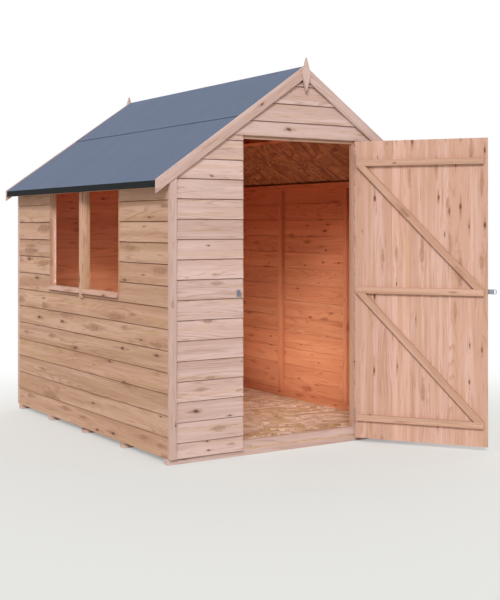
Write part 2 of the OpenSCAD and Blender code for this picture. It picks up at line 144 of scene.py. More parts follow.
def islands(bm):
    """Lists of the vertices of each separate stick."""
    left = set(bm.verts)
    found = []
    for seed in bm.verts:
        if seed not in left:
            continue
        left.discard(seed)
        group, queue = [], [seed]
        while queue:
            vert = queue.pop()
            group.append(vert)
            for edge in vert.link_edges:
                other = edge.other_vert(vert)
                if other in left:
                    left.discard(other)
                    queue.append(other)
        found.append(group)
    return found


def parts(node, shut=False):
    """The corners of each separate solid of a node, with the door turned shut if asked."""
    back = OPENED.inverted() if shut else Matrix.Identity(4)
    bm = welded(node)
    found = []
    for group in islands(bm):
        points = [back @ v.co for v in group]
        found.append((Vector([min(p[i] for p in points) for i in range(3)]),
                      Vector([max(p[i] for p in points) for i in range(3)])))
    bm.free()
    return found


# ---------------------------------------------------------------------------------------
# Materials


class Nodes:
    """Short calls that add shader nodes to the emptied tree of a material or a world."""

    def __init__(self, owner):
        owner.use_nodes = True
        self.tree = owner.node_tree
        self.tree.nodes.clear()

    def feed(self, socket, value):
        if isinstance(value, bpy.types.NodeSocket):
            self.tree.links.new(value, socket)
        elif isinstance(value, tuple) and len(value) == 3 and socket.type == "RGBA":
            socket.default_value = (*value, 1)
        else:
            socket.default_value = value

    def put(self, kind, inputs, **settings):
        node = self.tree.nodes.new("ShaderNode" + kind)
        for key, value in settings.items():
            setattr(node, key, value)
        for key, value in inputs.items():
            self.feed(node.inputs[key], value)
        return node

    def math(self, operation, a, b=0.0, c=0.0):
        return self.put("Math", {0: a, 1: b, 2: c}, operation=operation).outputs[0]

    def vector(self, operation, a, b):
        return self.put("VectorMath", {0: a, 1: b}, operation=operation).outputs["Vector"]

    def noise(self, where, scale, detail=2.0, rough=0.5):
        """Noise from 0 to 1 with swells about 1 / scale metres apart along each axis."""
        at = self.vector("MULTIPLY", where, scale)
        return self.put("TexNoise", {"Vector": at, "Scale": 1.0, "Detail": detail,
                                     "Roughness": rough}).outputs["Fac"]

    def warped(self, where, scale, amount):
        """A place moved about by noise, up to half of amount each way."""
        at = self.vector("MULTIPLY", where, scale)
        cloud = self.put("TexNoise", {"Vector": at, "Scale": 1.0}).outputs["Color"]
        off = self.vector("SUBTRACT", cloud, (0.5, 0.5, 0.5))
        return self.vector("ADD", where, self.vector("MULTIPLY", off, amount))

    def cells(self, where, scale):
        """Voronoi cells in the plane of the first two axes."""
        at = self.vector("MULTIPLY", where, scale)
        node = self.put("TexVoronoi", {"Vector": at, "Scale": 1.0}, voronoi_dimensions="2D")
        return at, node

    def spread(self, value, low, high, to_low=0.0, to_high=1.0):
        """Takes low..high smoothly to to_low..to_high."""
        return self.put("MapRange", {"Value": value, "From Min": low, "From Max": high,
                                     "To Min": to_low, "To Max": to_high},
                        interpolation_type="SMOOTHSTEP").outputs["Result"]

    def mix(self, share, a, b, blend="MIX"):
        return self.put("Mix", {0: share, 6: a, 7: b}, data_type="RGBA",
                        blend_type=blend).outputs[2]

    def split(self, vector):
        node = self.put("SeparateXYZ", {0: vector})
        return node.outputs[0], node.outputs[1], node.outputs[2]

    def attribute(self, name, output):
        return self.put("Attribute", {}, attribute_name=name).outputs[output]

    def place(self):
        return self.put("TexCoord", {}).outputs["Object"]

    def seen(self):
        """1 for what the camera sees, straight or in metal and glass, and 0 for other rays."""
        rays = self.put("LightPath", {}).outputs
        mirrored = self.math("ADD", rays["Is Glossy Ray"], rays["Is Transmission Ray"])
        return self.math("MINIMUM", self.math("ADD", rays["Is Camera Ray"], mirrored), 1.0)


class Graph(Nodes):
    """The nodes of a new material around one Principled shader."""

    def __init__(self, name):
        self.material = bpy.data.materials.new(name)
        super().__init__(self.material)
        self.output = self.tree.nodes.new("ShaderNodeOutputMaterial")
        self.shader = self.tree.nodes.new("ShaderNodeBsdfPrincipled")
        self.feed(self.output.inputs["Surface"], self.shader.outputs[0])

    def bump(self, height, distance, strength=0.5):
        bumped = self.put("Bump", {"Height": height, "Distance": distance,
                                   "Strength": strength}).outputs["Normal"]
        self.feed(self.shader.inputs["Normal"], bumped)

    def finish(self, color, roughness, specular):
        self.feed(self.shader.inputs["Base Color"], color)
        self.feed(self.shader.inputs["Roughness"], roughness)
        self.shader.inputs["Specular IOR Level"].default_value = specular
        return self.material


def knots(g, grain, amount, size, swell, stretch):
    """Knots scattered along boards: the distance from one in knot widths, its core, its halo,
    the dark tails beside it, whether it is a pale one, and the board's grain bent around it.
    Pale ones are larger by the share swell, and all are drawn out along the grain by stretch."""
    cell_size = (0.22, 0.07, 0.0)
    wavy = g.warped(grain, (26, 60, 0), (0.03, 0.01, 0.0))
    at, cell = g.cells(wavy, (1 / cell_size[0], 1 / cell_size[1], 0.0))
    off = g.vector("MULTIPLY", g.vector("SUBTRACT", at, cell.outputs["Position"]), cell_size)
    along, across, _ = g.split(off)
    chance, draw, kind = g.split(cell.outputs["Color"])
    there = g.math("LESS_THAN", chance, amount)
    pale = g.spread(kind, 0.5, 0.54)
    radius = g.math("MULTIPLY_ADD", g.math("POWER", draw, 1.6), size, 0.45 * size)
    radius = g.math("MULTIPLY", radius, g.math("MULTIPLY_ADD", pale, swell, 1.0))

    def distance(by):
        place = g.put("CombineXYZ", {0: g.math("DIVIDE", along, by), 1: across}).outputs[0]
        far = g.put("VectorMath", {0: place}, operation="LENGTH").outputs["Value"]
        return g.math("DIVIDE", far, radius)

    near, far = distance(stretch), distance(3.0 * stretch)
    core = g.math("MULTIPLY", g.spread(near, 0.55, 0.95, 1.0, 0.0), there)
    halo = g.math("MULTIPLY", g.spread(near, 0.6, 2.0, 1.0, 0.0), there)
    tail = g.math("MULTIPLY", g.spread(far, 0.3, 1.5, 1.0, 0.0), there)
    bend = g.math("MULTIPLY", g.spread(far, 0.4, 3.4, 0.8, 0.0), there)
    bent = g.put("CombineXYZ", {1: g.math("MULTIPLY", across, bend)}).outputs[0]
    return near, core, halo, tail, pale, g.vector("SUBTRACT", grain, bent)


def pine(name, light, mid, streak, brown, knot, tint, amount, size, swell=0.9, band=17.0,
         stretch=2.0, painted_top_shade=None):
    """Planed softwood: rings cut along the board, fibres, streaks of tint and knots.
    amount is the share of places that hold a knot, size the half height of a large one in
    metres, and band the number of broad streaks in a metre of width. The colour given last is
    what the colour is multiplied by toward the top of the room: painted shade, darker and
    redder up under the roof."""
    g = Graph(name)
    grain = g.attribute("grain", "Vector")
    tone = g.attribute("tone", "Fac")
    near, core, halo, tail, pale, bent = knots(g, grain, amount, size, swell, stretch)
    # Broad streaks and patches of tint
    broad = g.noise(bent, (0.7, band, band), 2.0)
    patch = g.noise(bent, (1.6, band * 1.6, 12), 2.0)
    color = g.mix(g.spread(broad, 0.38, 0.62), mid, light)
    color = g.mix(g.spread(patch, 0.5, 0.66, 0.0, 0.75), color, tint)
    # Growth rings, each slowly darker toward its sharp outer edge, stronger in some places
    field = g.noise(bent, (0.75, 9, 9), 1.0)
    ripple = g.noise(bent, (5, 90, 90), 1.0)
    turns = g.math("MULTIPLY_ADD", field, 17.0, g.math("MULTIPLY", ripple, 0.5))
    ring = g.math("FRACT", turns)
    late = g.math("MULTIPLY", g.spread(ring, 0.5, 0.94), g.spread(ring, 0.94, 1.0, 1.0, 0.0))
    where = g.spread(g.noise(bent, (1.5, 13, 13), 1.0), 0.46, 0.64)
    late = g.math("MULTIPLY", late, g.math("MULTIPLY_ADD", where, 0.8, 0.2))
    color = g.mix(g.math("MULTIPLY", late, 0.58), color, streak)
    # Dark dashes and fine fibres
    dash = g.spread(g.noise(bent, (6, 110, 110), 2.0), 0.58, 0.72)
    color = g.mix(g.math("MULTIPLY", dash, 0.5), color, g.mix(0.4, streak, brown))
    fibre = g.noise(bent, (7, 520, 520), 2.0)
    color = g.mix(g.spread(fibre, 0.3, 0.7, 0.0, 0.2), color, streak)
    # Knots, dark ones with a nearly black heart and pale ones with rings of their own
    fleck = g.noise(bent, (30, 160, 100), 1.0)
    color = g.mix(g.math("MULTIPLY", halo, 0.4), color, brown)
    color = g.mix(g.math("MULTIPLY", tail, g.spread(fleck, 0.35, 0.6, 0.1, 0.6)), color, brown)
    rim = g.math("FRACT", g.math("MULTIPLY", near, 2.8))
    dark_heart = g.mix(g.spread(near, 0.15, 0.75), knot, g.mix(0.45, knot, brown))
    pale_heart = g.mix(g.math("MULTIPLY", rim, 0.5), g.mix(0.35, mid, brown), brown)
    color = g.mix(g.math("MULTIPLY", core, g.math("MULTIPLY_ADD", pale, -0.3, 0.95)), color,
                  g.mix(pale, dark_heart, pale_heart))
    # The board's own tone, painted shade that darkens the colour toward the top of the room,
    # and painted shade in the laps and under the sill's nose
    shade = g.math("MULTIPLY_ADD", tone, 0.055, 0.985)
    shades = g.put("CombineColor", {0: shade, 1: shade, 2: shade}).outputs[0]
    color = g.mix(1.0, color, shades, "MULTIPLY")
    # Painted shade: the colour darkened and reddened from 0.7 m up to 1.7 m, the dim top of the
    # room
    if painted_top_shade:
        _, _, z = g.split(g.place())
        color = g.mix(g.spread(z, 0.7, 1.7), color, g.mix(1.0, color, painted_top_shade, "MULTIPLY"))
    # Painted shade: the colour turns dark brown by the third point attribute, on the lines under
    # the laps and under the sill's nose
    painted_shade_brown = g.mix(1.0, brown, (0.66, 0.47, 0.36), "MULTIPLY")
    color = g.mix(g.math("MULTIPLY", g.attribute("painted_shade", "Fac"), 0.88), color, painted_shade_brown)
    height = g.math("SUBTRACT", g.math("MULTIPLY", fibre, 0.5), g.math("MULTIPLY", late, 0.6))
    g.bump(height, 0.0006, 0.45)
    return g.finish(color, g.math("MULTIPLY_ADD", late, 0.12, 0.62), 0.25)


def strand_board(name, straw, mid, ochre, dark, strand_size):
    """Pressed wood strands of about one size that lie over each other in all directions."""
    g = Graph(name)
    at = g.place()
    x, y, z = g.split(at)
    flat = g.put("CombineXYZ", {0: g.math("MULTIPLY_ADD", z, -0.7, x), 1: y}).outputs[0]
    color, height = mid, 0.0
    # Layers of strands, each turned its own way, with gaps that show the layer below
    for i, turn in enumerate((12, 78, -38, 47, -70, 5)):
        turned = g.put("VectorRotate", {"Vector": flat, "Angle": math.radians(turn)},
                       rotation_type="Z_AXIS").outputs[0]
        moved = g.vector("ADD", turned, (i * 3.7, i * 1.9, i * 2.3))
        moved = g.warped(moved, (4, 4, 0), (0.0, 0.12, 0.0))
        _, cell = g.cells(moved, (1 / strand_size[0], 1 / strand_size[1], 0.0))
        draw, warm, odd = g.split(cell.outputs["Color"])
        on_top = g.math("GREATER_THAN", draw, 0.3 if i == 0 else 0.55)
        inside = g.spread(cell.outputs["Distance"], 0.5, 0.8, 1.0, 0.0)
        lines = g.noise(moved, (8, 130, 0), 2.0)
        strand = g.mix(g.spread(warm, 0.1, 0.9), mid, straw)
        strand = g.mix(g.spread(odd, 0.5, 0.8, 0.0, 0.9), strand, ochre)
        strand = g.mix(g.spread(lines, 0.45, 0.7, 0.0, 0.7), strand, dark)
        # Painted shade: each strand darker toward its edges, where the gaps between strands lie
        strand = g.mix(g.math("SUBTRACT", 0.5, g.math("MULTIPLY", inside, 0.5)), strand, dark)
        color = g.mix(on_top, color, strand)
        height = g.math("ADD", height, g.math("MULTIPLY", on_top, inside))
    # A sheet's cut edges show its layers from the side
    _, _, up = g.split(g.put("NewGeometry", {}).outputs["Normal"])
    cut = g.math("LESS_THAN", g.math("ABSOLUTE", up), 0.5)
    layers = g.noise(at, (14, 14, 380), 3.0)
    color = g.mix(cut, color, g.mix(g.spread(layers, 0.42, 0.62, 0.1, 0.5), mid, dark))
    g.bump(height, 0.0008, 0.5)
    return g.finish(color, g.spread(height, 0.0, 2.5, 0.6, 0.75), 0.25)


def felt(name, dark, light, specular=0.3):
    """Mineral felt: slate granules pressed into bitumen."""
    g = Graph(name)
    at = g.place()
    grit = g.noise(at, (520, 520, 520), 2.0, 0.7)
    blotch = g.noise(at, (2.5, 6, 2.5), 3.0)
    color = g.mix(g.spread(grit, 0.3, 0.72), dark, light)
    color = g.mix(g.spread(blotch, 0.3, 0.75, 0.0, 0.22), color, dark)
    g.bump(grit, 0.0012, 0.5)
    return g.finish(color, g.spread(grit, 0.2, 0.8, 0.95, 0.75), specular)


def metal(name, color, worn, roughness, metallic):
    """Plated or enamelled steel with a little wear."""
    g = Graph(name)
    at = g.place()
    cloud = g.noise(at, (70, 70, 70), 3.0)
    fine = g.noise(at, (900, 900, 900), 2.0)
    mixed = g.mix(g.spread(cloud, 0.4, 0.72, 0.0, 0.6), color, worn)
    g.shader.inputs["Metallic"].default_value = metallic
    g.bump(g.math("MULTIPLY_ADD", cloud, 2.0, fine), 0.0004, 0.3)
    return g.finish(mixed, g.math("MULTIPLY_ADD", fine, 0.2, roughness), 0.5)


def pane():
    """Clear sheet glass that lets lamps through."""
    g = Graph("window_glass")
    at = g.place()
    smear = g.noise(at, (3, 5, 5), 2.0)
    g.shader.inputs["Transmission Weight"].default_value = 1.0
    g.shader.inputs["IOR"].default_value = 1.02
    g.bump(smear, 0.002, 0.05)
    g.finish((0.96, 0.98, 0.97), g.spread(smear, 0.3, 0.8, 0.0, 0.02), 0.2)
    clear = g.put("BsdfTransparent", {})
    shadow = g.put("LightPath", {}).outputs["Is Shadow Ray"]
    both = g.put("MixShader", {0: shadow, 1: g.shader.outputs[0], 2: clear.outputs[0]})
    g.feed(g.output.inputs["Surface"], both.outputs[0])
    return g.material


PINE_FRONT = pine(
    "pine_front", light=(0.675, 0.495, 0.458), mid=(0.58, 0.402, 0.357),
    streak=(0.41, 0.25, 0.18), brown=(0.30, 0.17, 0.105), knot=(0.10, 0.053, 0.032),
    tint=(0.61, 0.42, 0.335), amount=0.36, size=0.0095, swell=-0.15)
PINE_SIDE = pine(
    "pine_side", light=(0.625, 0.39, 0.284), mid=(0.488, 0.281, 0.182),
    streak=(0.38, 0.195, 0.11), brown=(0.27, 0.132, 0.075), knot=(0.095, 0.04, 0.02),
    tint=(0.52, 0.32, 0.19), amount=0.3, size=0.0085, stretch=3.2)
PINE_DOOR = pine(
    "pine_door", light=(0.68, 0.443, 0.37), mid=(0.59, 0.352, 0.266),
    streak=(0.45, 0.235, 0.15), brown=(0.32, 0.16, 0.085), knot=(0.11, 0.046, 0.027),
    tint=(0.56, 0.345, 0.225), amount=0.46, size=0.0066, band=20.0, stretch=3.0)
PINE_BATTEN = pine(
    "pine_batten", light=(0.59, 0.37, 0.275), mid=(0.50, 0.29, 0.20),
    streak=(0.37, 0.19, 0.115), brown=(0.27, 0.13, 0.075), knot=(0.09, 0.038, 0.022),
    tint=(0.52, 0.34, 0.24), amount=0.25, size=0.006, swell=0.5, band=30.0)
PINE_TRIM = pine(
    "pine_trim", light=(0.65, 0.478, 0.445), mid=(0.55, 0.382, 0.335),
    streak=(0.42, 0.255, 0.19), brown=(0.32, 0.185, 0.12), knot=(0.11, 0.055, 0.037),
    tint=(0.62, 0.455, 0.41), amount=0.2, size=0.006)
# Painted shade: a darker, redder copy of the pine for the inside of the room, standing in for its
# dim, warm light
PINE_INNER_SHADED = pine(
    "pine_inner_shaded", light=(0.72, 0.315, 0.165), mid=(0.63, 0.25, 0.125),
    streak=(0.48, 0.155, 0.066), brown=(0.34, 0.09, 0.037), knot=(0.15, 0.035, 0.015),
    tint=(0.66, 0.265, 0.13), amount=0.4, size=0.0065, painted_top_shade=(0.84, 0.49, 0.35))
STRAND_FLOOR = strand_board(
    "strand_floor", straw=(0.86, 0.65, 0.52), mid=(0.67, 0.44, 0.31),
    ochre=(0.56, 0.375, 0.19), dark=(0.27, 0.15, 0.08), strand_size=(0.24, 0.046))
# Painted shade: a darker, redder copy of the floor's strand board, for the roof's underside up in
# the dim top of the room
STRAND_ROOF_SHADED = strand_board(
    "strand_roof_shaded", straw=(0.47, 0.165, 0.062), mid=(0.34, 0.105, 0.036),
    ochre=(0.25, 0.07, 0.022), dark=(0.09, 0.022, 0.008), strand_size=(0.14, 0.026))
FELT = felt("felt_slate", dark=(0.084, 0.114, 0.178), light=(0.163, 0.206, 0.318))
FELT_EDGE = felt("felt_edge", dark=(0.012, 0.013, 0.014), light=(0.03, 0.032, 0.034),
                 specular=0.08)
IRON = metal("black_iron", (0.02, 0.02, 0.022), worn=(0.045, 0.042, 0.04), roughness=0.4,
             metallic=0.0)
ZINC = metal("zinc_plate", (0.30, 0.32, 0.37), worn=(0.21, 0.225, 0.26), roughness=0.34,
             metallic=1.0)
NAIL = metal("nail_head", (0.30, 0.29, 0.28), worn=(0.20, 0.17, 0.15), roughness=0.5,
             metallic=0.8)
GLASS = pane()

# ---------------------------------------------------------------------------------------
# Boards


class Boards:
    """Boards collected into one mesh, each with its own place in the tree and its own tone."""

    def __init__(self, seed):
        self.bm = bmesh.new()
        self.grain = self.bm.verts.layers.float_vector.new("grain")
        self.tone = self.bm.verts.layers.float.new("tone")
        self.painted_shade = self.bm.verts.layers.float.new("painted_shade")
        self.random = random.Random(seed)
        self.next_board()

    def next_board(self):
        draw = self.random.uniform
        self.shift = Vector((draw(0, 40), draw(0, 20), draw(0, 5)))
        self.shade = draw(-1, 1)

    def mark(self, vert, grain):
        vert[self.grain] = grain + self.shift
        vert[self.tone] = self.shade

    def sweep(self, place, rings, painted_shade=None):
        """Closes a body through rings of (along, across, through) points. The last argument
        gives, by index within a ring, how much painted shade darkens each place."""
        rows = []
        for ring in rings:
            row = []
            for k, p in enumerate(ring):
                vert = self.bm.verts.new(place @ p)
                self.mark(vert, p)
                vert[self.painted_shade] = (painted_shade or {}).get(k, 0.0)
                row.append(vert)
            rows.append(row)
        for a, b in zip(rows, rows[1:]):
            for i in range(len(a)):
                k = (i + 1) % len(a)
                self.bm.faces.new((a[i], a[k], b[k], b[i]))
        self.bm.faces.new(rows[0])
        self.bm.faces.new(rows[-1][::-1])

    def box(self, place, low, high, r):
        """A board between two corners with its long edges rounded by r."""
        (u0, v0, w0), (u1, v1, w1) = low, high
        outline = [(v0 + r, w0), (v1 - r, w0), (v1 - 0.3 * r, w0 + 0.3 * r), (v1, w0 + r),
                   (v1, w1 - r), (v1 - 0.3 * r, w1 - 0.3 * r), (v1 - r, w1), (v0 + r, w1),
                   (v0 + 0.3 * r, w1 - 0.3 * r), (v0, w1 - r), (v0, w0 + r),
                   (v0 + 0.3 * r, w0 + 0.3 * r)]
        count = max(2, round((u1 - u0) / PLAIN_STEP))
        rings = [[Vector((u0 + (u1 - u0) * i / count, v, w)) for v, w in outline]
                 for i in range(count + 1)]
        self.sweep(place, rings)

    def build(self, name, materials, body, nodes, second=None):
        """Makes the piece. Faces picked by second take the second material."""
        bmesh.ops.recalc_face_normals(self.bm, faces=self.bm.faces)
        if second:
            for face in self.bm.faces:
                face.material_index = int(second(face))
        mesh = bpy.data.meshes.new(name)
        self.bm.to_mesh(mesh)
        self.bm.free()
        return add_piece(name, mesh, materials, body, nodes)


def add_piece(name, mesh, materials, body, nodes=()):
    """Puts a mesh into the scene on its body, in place of the CAD nodes if any are named."""
    piece = bpy.data.objects.new(name, mesh)
    bpy.context.scene.collection.objects.link(piece)
    for material in materials:
        mesh.materials.append(material)
    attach(piece, body)
    if nodes:
        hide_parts(*nodes)
    return piece


def axes(u, w, origin):
    """A matrix from (along, across, through) to the shared frame."""
    u, w = Vector(u), Vector(w)
    v = w.cross(u)
    columns = Matrix((u, v, w)).transposed().to_4x4()
    return Matrix.Translation(origin) @ columns


# ---------------------------------------------------------------------------------------
# Lapped cladding


def board_front(low, next_low, v):
    """How far out a board's sloping face stands at height v."""
    return CLAD - (CLAD - BOARD_T) * (v - low) / (next_low + OVERLAP - low)


def lapped_board(boards, place, low, top, next_low, left, right, line):
    """One rebated board from its lower edge up to top, tucked under the one at next_low.
    left and right give its ends at a height, and line is the height of the line of painted
    shade under a lap."""

    def front(v):
        return board_front(low, next_low, v)

    mid = (low + top) / 2
    rebate = min(low + OVERLAP, mid)
    soft = 0.0016
    # Round the section: the thick lower edge, the rebate, the inner side, the top and the face
    outline = [(low + soft, CLAD), (low, CLAD - soft), (low, CLAD - BOARD_T + soft / 2),
               (low + soft, CLAD - BOARD_T), (rebate, CLAD - BOARD_T), (rebate, INNER_STEP),
               (top, front(top) - BOARD_T), (top, front(top)), (mid, front(mid) + 0.0003)]
    painted_shade = None
    # Painted shade from the hidden top down to a line just under the next board, gone within 1 mm
    if next_low < top:
        lap = [(next_low - shy, front(next_low)) for shy in (line, line + 0.001)]
        outline = outline[:8] + lap + outline[8:]
        painted_shade = {2: 1.0, 7: 1.0, 8: 1.0}
    count = max(2, round((right(low) - left(low)) / LAPPED_STEP))
    rings = []
    for i in range(count + 1):
        share = i / count
        ring = []
        for v, w in outline:
            u = left(v) + (right(v) - left(v)) * share
            if v < mid - 0.001:
                at = Vector((u * 3.1, boards.shift.x, boards.shift.y))
                v += WANDER_UP * noise.noise(at)
                w -= WANDER_IN * abs(noise.noise(Vector((u * 2.3, boards.shift.y, 3))))
            ring.append(Vector((u, v, w)))
        rings.append(ring)
    boards.sweep(place, rings, painted_shade)


def clad(node, place, lows, top, left, right, seed, materials, inward, line, hole=None):
    """A wall of lapped boards. lows are the boards' lower edges, and hole is the window's
    (first end, second end, bottom, top), where upright laths close the boards' ends."""
    boards = Boards(seed)
    for low, next_low in zip(lows, lows[1:] + [top]):
        boards.next_board()
        board_top = min(next_low + OVERLAP, top)
        if hole is None or next_low <= hole[2] or low >= hole[3] - 0.01:
            lapped_board(boards, place, low, board_top, next_low, left, right, line)
            continue
        first, second = hole[0] - LATH_T, hole[1] + LATH_T
        lapped_board(boards, place, low, board_top, next_low, left, lambda v: first, line)
        lapped_board(boards, place, low, board_top, next_low, lambda v: second, right, line)
        if low < hole[2]:
            lapped_board(boards, place, low, hole[2], next_low, lambda v: first,
                         lambda v: second, line)
    if hole:
        upright = place @ axes((0, 1, 0), (0, 0, 1), (0, 0, 0))
        for u in (hole[0] - LATH_T, hole[1]):
            boards.next_board()
            boards.box(upright, (hole[2], -u - LATH_T, 0), (hole[3], -u, CLAD), 0.001)
    # Faces that look into the room take the second material, the inner pine with its painted
    # shade
    return boards.build(node + "_boards", materials, "shed", [node],
                        lambda face: face.normal.dot(inward) > 0.4)


def steps(first, pitch, top):
    """Heights from first up by pitch, the last more than a quarter of a pitch under top."""
    found = []
    while first < top - pitch / 4:
        found.append(first)
        first += pitch
    return found


def window_hole():
    """The window opening's two ends along Y, its bottom and its top."""
    rim = [v.co for v in frame["nodes"]["left_wall"].data.vertices
           if abs(v.co.y) < FRAME_Y - CLAD]
    ys, zs = [p.y for p in rim], [p.z for p in rim]
    return min(ys), max(ys), min(zs), max(zs)


def side_walls():
    """Both sides' boards, with the window in the left wall."""
    y0, y1, z0, z1 = window_hole()
    window = (-y1, -y0, z0, z1)
    lows = steps(BASE_Z, SIDE_PITCH, WALL_TOP)
    left_place = axes((0, -1, 0), (-1, 0, 0), (-FRAME_X, 0, 0))
    right_place = axes((0, 1, 0), (1, 0, 0), (FRAME_X, 0, 0))
    for node, place, seed, inward, hole in (("left_wall", left_place, 11, (1, 0, 0), window),
                                            ("right_wall", right_place, 12, (-1, 0, 0), None)):
        clad(node, place, lows, WALL_TOP, lambda v: -FRAME_Y, lambda v: FRAME_Y, seed,
             [PINE_SIDE, PINE_INNER_SHADED], Vector(inward), SIDE_LINE, hole)


def low_edges():
    """Lower edges of an end wall's boards up to the doorway's top."""
    return [BASE_Z] + steps(BASE_Z + END_FIRST, END_PITCH, HEAD_Z)


def gable_edges():
    """Lower edges of an end wall's boards from the doorway's top to the ridge."""
    return [HEAD_Z] + steps(HEAD_Z + GABLE_FIRST, GABLE_PITCH, APEX_Z)


def end_walls():
    """Both ends' boards, which stop a little under the ridge."""
    crown = APEX_Z - 0.01
    front = axes((1, 0, 0), (0, -1, 0), (0, -FRAME_Y, 0))
    back = axes((-1, 0, 0), (0, 1, 0), (0, FRAME_Y, 0))
    inner = Vector((0, 1, 0))
    for node, place, seed, edges, top, inward in (
            ("front_wall_left", front, 21, low_edges(), HEAD_Z, inner),
            ("front_wall_right", front, 22, low_edges(), HEAD_Z, inner),
            ("front_gable", front, 23, gable_edges(), crown, inner),
            ("back_wall", back, 24, low_edges() + gable_edges(), crown, -inner)):
        low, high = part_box(node)
        clad(node, place, edges, top, lambda v: max(low.x, -roof_half(v)),
             lambda v: min(high.x, roof_half(v)), seed, [PINE_FRONT, PINE_INNER_SHADED], inward,
             END_LINE)


# ---------------------------------------------------------------------------------------
# Timber that keeps the frame's shape, with its edges eased and its own grain


def one_way(v):
    """The vector or its opposite, so that the larger part of it is positive."""
    return v if max((round(part, 3) for part in v), key=abs) > 0 else -v


def timber(node, materials, seed, body="shed", ease=0.0015, grain=None,
           facing=None, second=None, cut_z=None):
    """A node's sticks with eased edges. The grain follows a stick's longest edge, and its flat
    side faces the way of the widest face, unless they are given. cut_z is a height at which
    faces are parted, for second to pick from."""
    bm = welded(node)
    if cut_z:
        bmesh.ops.bisect_plane(bm, geom=bm.verts[:] + bm.edges[:] + bm.faces[:],
                               plane_co=(0, 0, cut_z), plane_no=(0, 0, 1))
    bmesh.ops.bevel(bm, geom=list(bm.edges), offset=ease, segments=2, profile=0.6,
                    affect="EDGES", clamp_overlap=True)
    boards = Boards(seed)
    bmesh.ops.recalc_face_normals(bm, faces=bm.faces)
    mesh = bpy.data.meshes.new(node)
    bm.to_mesh(mesh)
    bm.free()
    boards.bm.from_mesh(mesh)
    for group in islands(boards.bm):
        boards.next_board()
        edges = {e for v in group for e in v.link_edges}
        faces = {f for v in group for f in v.link_faces}
        longest = max(edges, key=lambda e: e.calc_length())
        u = one_way(Vector(grain or (longest.verts[0].co - longest.verts[1].co)).normalized())
        widest = max(faces, key=lambda f: f.calc_area() * (1 - abs(f.normal.dot(u))))
        out = one_way(Vector(facing or widest.normal))
        w = (out - u * out.dot(u)).normalized()
        v = w.cross(u)
        centre = sum((p.co for p in group), Vector()) / len(group)
        for p in group:
            at = p.co - centre
            boards.mark(p, Vector((at.dot(u), at.dot(v), at.dot(w))))
    return boards.build(node + "_timber", materials, body, [node], second)


def frame_timbers():
    """The timber that keeps its CAD shape, apart from the left wall's studs. The numbers are
    the seeds of each piece's draws."""
    for i, node in enumerate(("floor_bearers", "threshold")):
        timber(node, [PINE_FRONT], 31 + i, facing=(0, 1, 0))
    for i, node in enumerate(("door_posts", "door_head")):
        timber(node, [PINE_BATTEN], 33 + i)
    timber("window_mullion", [PINE_SIDE], 35)
    # Framing inside the room takes the inner pine with its painted shade
    for i, node in enumerate(("front_studs", "gable_rafters", "back_studs", "back_rails",
                              "left_rails", "right_studs", "right_rails", "ridge_beam",
                              "purlins")):
        timber(node, [PINE_INNER_SHADED], 40 + i)
    for i, node in enumerate(("corner_trims", "front_barge_boards", "back_barge_boards")):
        timber(node, [PINE_TRIM], 50 + i)
    for i, node in enumerate(("front_finial", "back_finial")):
        timber(node, [PINE_TRIM], 54 + i, grain=(0, 0, 1))
    for i, node in enumerate(("door_ledges", "door_braces")):
        timber(node, [PINE_BATTEN], 56 + i, "door")
    timber("eave_battens", [PINE_SIDE], 58)


def window_sill():
    """The sill's halves: a flat bed in the wall, and outside a weathered top, a thin nose and
    a recess under it that drips clear of the wall."""
    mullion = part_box("window_mullion")
    bed = window_hole()[2]
    place = axes((0, -1, 0), (-1, 0, 0), (-HALF_W, 0, 0))
    boards = Boards(36)
    for low, high in parts("window_sill"):
        boards.next_board()
        top, out, ease = high.z, -HALF_W - low.x, 0.001
        nose_top, nose_bottom = top - 0.018, top - 0.027
        outline = [(top, 0.0), (top - ease, ease * 1.5), (nose_top, out - ease),
                   (nose_top - ease, out), (nose_bottom + ease, out),
                   (nose_bottom, out - ease), (nose_bottom - 0.002, out * 0.2),
                   (low.z, out * 0.12), (low.z, 0.0)]
        rings = [[Vector((-y, v, w)) for v, w in outline] for y in (high.y, low.y)]
        # Painted shadow on the recess under the nose, darkest just under it
        boards.sweep(place, rings, {6: 0.9, 7: 0.6})
        start, end = low.y, high.y
        if start < mullion[0].y < end:
            end = mullion[0].y
        else:
            start = mullion[1].y
        boards.box(place, (-end, bed, -high.x - HALF_W), (-start, top, 0.0), 0.0008)
    boards.build("window_sill_halves", [PINE_DOOR], "shed", ["window_sill"])


def window_studs():
    """The left wall's studs in the inner pine with its painted room shade, left pale where they
    show in the window.
    """
    y0, y1, z0, _ = window_hole()

    def shows(face):
        centre = face.calc_center_median()
        beside = abs(centre.y - y0) < 0.004 or abs(centre.y - y1) < 0.004
        return beside and centre.z > z0 and abs(face.normal.y) > 0.3

    timber("left_studs", [PINE_INNER_SHADED, PINE_DOOR], 59, second=shows, cut_z=z0)


def door_boards():
    """The door's upright boards, laid out on the shut door and turned with it."""
    low, high = parts("door_boards", shut=True)[0]
    width = (high.x - low.x) / DOOR_BOARDS
    place = OPENED @ axes((0, 0, 1), (0, -1, 0), (0, high.y, 0))
    boards = Boards(61)
    for i in range(DOOR_BOARDS):
        boards.next_board()
        first = low.x + i * width
        boards.box(place, (low.z, -first - width + DOOR_GAP / 2, 0),
                   (high.z, -first - DOOR_GAP / 2, high.y - low.y), 0.0005)
    boards.build("door_boards_pine", [PINE_DOOR], "door", ["door_boards"])


# ---------------------------------------------------------------------------------------
# Roof


